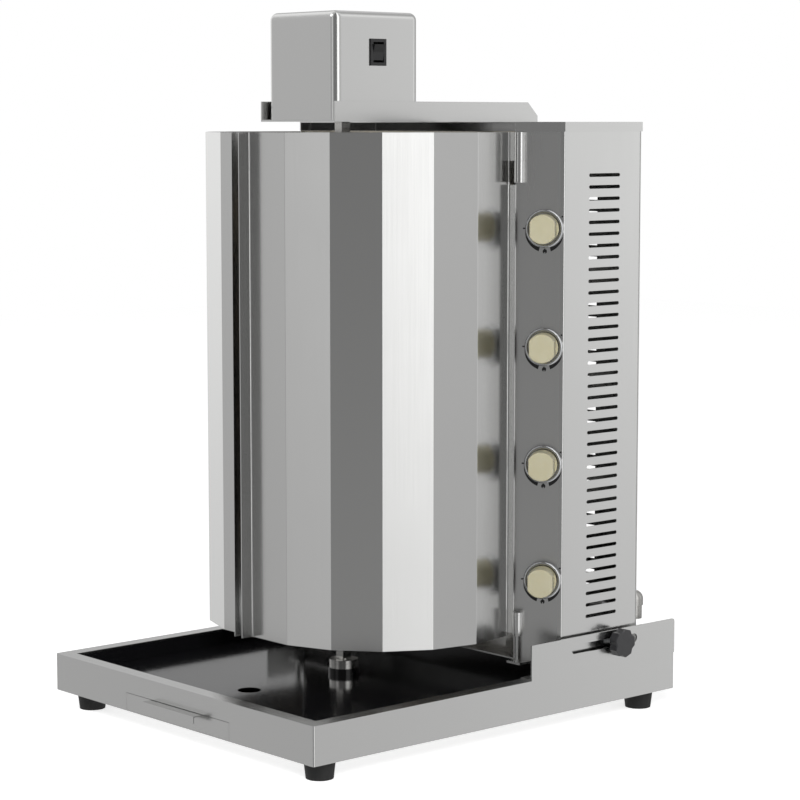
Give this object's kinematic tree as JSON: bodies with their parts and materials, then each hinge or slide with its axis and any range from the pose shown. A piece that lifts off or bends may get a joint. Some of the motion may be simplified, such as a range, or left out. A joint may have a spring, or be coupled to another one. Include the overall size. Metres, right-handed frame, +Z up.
{
  "type": "gas doner kebab grill",
  "caption": "Countertop vertical gas grill: faceted double doors round a turning spit, side control knobs, vented burner housing on a drip tray.",
  "frame": {"origin": "on the floor, under the middle of the whole footprint", "axes": "doors face -Y, gas controls on the object's right at +X, +Z up along the spit"},
  "size_m": [0.5762, 0.64, 0.9196],
  "materials": {
    "stainless_sheet": "fine vertical brushed grain",
    "heat_shield_steel": "bright, slightly heat tinted",
    "machined_steel": "turned and polished",
    "zinc_screws": "zinc plated",
    "black_enamel": "glossy vitreous enamel",
    "foot_rubber": "matt black",
    "ceramic_tile": "porous, drilled with fine holes",
    "guard_wire": "heat-dulled wire",
    "probe_metal": "polished",
    "gas_brass": "machined brass",
    "plated_fitting": "satin nickel plate over brass",
    "pipe_metal": "drawn tube",
    "pipe_copper": "drawn copper tube",
    "bezel_chrome": "bright chrome",
    "knob_ivory": "satin ivory plastic",
    "star_plastic": "satin black plastic",
    "gear_casting": "die cast",
    "switch_plastic": "fine grained black plastic"
  },
  "bodies": {
    "base": {"base_tray": "stainless_sheet", "rubber_feet": "foot_rubber", "right_rail": "stainless_sheet", "left_rail": "stainless_sheet", "rail_screws": "zinc_screws", "drip_pan": "black_enamel", "drawer_guides": "machined_steel", "spit_bearing": "machined_steel"},
    "grease_drawer": {"grease_drawer": "stainless_sheet"},
    "burner_unit": {"right_side_panel": "stainless_sheet", "left_side_panel": "stainless_sheet", "control_panel": "stainless_sheet", "left_corner_panel": "stainless_sheet", "back_panel": "stainless_sheet", "back_screws": "zinc_screws", "roof": "stainless_sheet", "floor_plate": "stainless_sheet", "heat_shield": "heat_shield_steel", "slide_runners": "machined_steel", "side_studs": "machined_steel", "roof_studs": "machined_steel", "upper_hinges": "machined_steel", "right_lower_hinge": "machined_steel", "left_lower_hinge": "machined_steel", "burner_1": "heat_shield_steel", "burner_2": "heat_shield_steel", "burner_3": "heat_shield_steel", "burner_4": "heat_shield_steel", "plaques": "ceramic_tile", "gas_taps": "gas_brass", "burner_guards": "guard_wire", "flame_probes": "probe_metal", "manifold": "pipe_metal", "supply_pipe": "pipe_metal", "injector_pipes": "pipe_copper", "gas_inlet": "plated_fitting", "knob_bezels": "bezel_chrome"},
    "right_door": {"right_door": "stainless_sheet"},
    "left_door": {"left_door": "stainless_sheet"},
    "right_star_knob": {"right_star_knob": "star_plastic"},
    "left_star_knob": {"left_star_knob": "star_plastic"},
    "arm_star_knob": {"arm_star_knob": "star_plastic"},
    "motor_arm": {"motor_arm": "stainless_sheet", "motor_cover": "stainless_sheet", "gear_motor": "gear_casting", "switch_body": "switch_plastic", "cable_gland": "switch_plastic"},
    "switch_rocker": {"switch_rocker": "switch_plastic"},
    "drive_shaft": {"drive_shaft": "machined_steel"},
    "drive_sleeve": {"drive_sleeve": "machined_steel"},
    "spit": {"spit": "machined_steel", "meat_dish": "machined_steel"},
    "stem_1": {"stem_1": "machined_steel"},
    "knob_1": {"knob_1": "knob_ivory"},
    "stem_2": {"stem_2": "machined_steel"},
    "knob_2": {"knob_2": "knob_ivory"},
    "stem_3": {"stem_3": "machined_steel"},
    "knob_3": {"knob_3": "knob_ivory"},
    "stem_4": {"stem_4": "machined_steel"},
    "knob_4": {"knob_4": "knob_ivory"}
  },
  "joints": [
    {"name": "drawer_slide", "type": "slide", "parent": "base", "child": "grease_drawer", "axis": [0, -1, 0], "range_m": [0, 0.17]},
    {"name": "unit_slide", "type": "slide", "parent": "base", "child": "burner_unit", "axis": [0, 1, 0], "range_m": [-0.044, 0.034]},
    {"name": "right_door_hinge", "type": "hinge", "parent": "burner_unit", "child": "right_door", "pos_m": [0.22377, 0.07233, 0.121], "axis": [0, 0, 1], "range_deg": [0, 84]},
    {"name": "left_door_hinge", "type": "hinge", "parent": "burner_unit", "child": "left_door", "pos_m": [-0.22377, 0.07233, 0.121], "axis": [0, 0, -1], "range_deg": [0, 84]},
    {"name": "right_clamp_turn", "type": "hinge", "parent": "burner_unit", "child": "right_star_knob", "pos_m": [0.27076, 0.207, 0.104], "axis": [1, 0, 0], "range_deg": [0, 360]},
    {"name": "left_clamp_turn", "type": "hinge", "parent": "burner_unit", "child": "left_star_knob", "pos_m": [-0.27076, 0.207, 0.104], "axis": [-1, 0, 0], "range_deg": [0, 360]},
    {"name": "arm_slide", "type": "slide", "parent": "burner_unit", "child": "motor_arm", "axis": [0, 1, 0], "range_m": [-0.034, 0.044]},
    {"name": "arm_clamp_turn", "type": "hinge", "parent": "burner_unit", "child": "arm_star_knob", "pos_m": [0, 0.168, 0.78], "axis": [0, 0, 1], "range_deg": [0, 360]},
    {"name": "switch_rock", "type": "hinge", "parent": "motor_arm", "child": "switch_rocker", "pos_m": [0.067, -0.029, 0.868], "axis": [0, -1, 0], "range_deg": [0, 20]},
    {"name": "spit_spin", "type": "hinge", "parent": "base", "child": "spit", "pos_m": [0, -0.031, 0.072], "axis": [0, 0, 1], "continuous": true},
    {"name": "drive_spin", "type": "hinge", "parent": "motor_arm", "child": "drive_shaft", "pos_m": [0, -0.031, 0.796], "axis": [0, 0, 1], "continuous": true},
    {"name": "sleeve_lift", "type": "slide", "parent": "drive_shaft", "child": "drive_sleeve", "axis": [0, 0, 1], "range_m": [0, 0.031]},
    {"name": "tap_1_turn", "type": "hinge", "parent": "burner_unit", "child": "stem_1", "pos_m": [0.24364, 0.09807, 0.196], "axis": [0.6293, -0.7771, 0], "range_deg": [0, 210]},
    {"name": "knob_1_push", "type": "slide", "parent": "stem_1", "child": "knob_1", "axis": [-0.6293, 0.7771, 0], "range_m": [0, 0.0035], "stiffness_N_per_m": 600, "springref_m": -0.003},
    {"name": "tap_2_turn", "type": "hinge", "parent": "burner_unit", "child": "stem_2", "pos_m": [0.24364, 0.09807, 0.346], "axis": [0.6293, -0.7771, 0], "range_deg": [0, 210]},
    {"name": "knob_2_push", "type": "slide", "parent": "stem_2", "child": "knob_2", "axis": [-0.6293, 0.7771, 0], "range_m": [0, 0.0035], "stiffness_N_per_m": 600, "springref_m": -0.003},
    {"name": "tap_3_turn", "type": "hinge", "parent": "burner_unit", "child": "stem_3", "pos_m": [0.24364, 0.09807, 0.496], "axis": [0.6293, -0.7771, 0], "range_deg": [0, 210]},
    {"name": "knob_3_push", "type": "slide", "parent": "stem_3", "child": "knob_3", "axis": [-0.6293, 0.7771, 0], "range_m": [0, 0.0035], "stiffness_N_per_m": 600, "springref_m": -0.003},
    {"name": "tap_4_turn", "type": "hinge", "parent": "burner_unit", "child": "stem_4", "pos_m": [0.24364, 0.09807, 0.646], "axis": [0.6293, -0.7771, 0], "range_deg": [0, 210]},
    {"name": "knob_4_push", "type": "slide", "parent": "stem_4", "child": "knob_4", "axis": [-0.6293, 0.7771, 0], "range_m": [0, 0.0035], "stiffness_N_per_m": 600, "springref_m": -0.003}
  ],
  "couplings": [
    {"joint": "arm_slide", "follows": "unit_slide", "ratio": -1},
    {"joint": "drive_spin", "follows": "spit_spin", "ratio": 1}
  ]
}
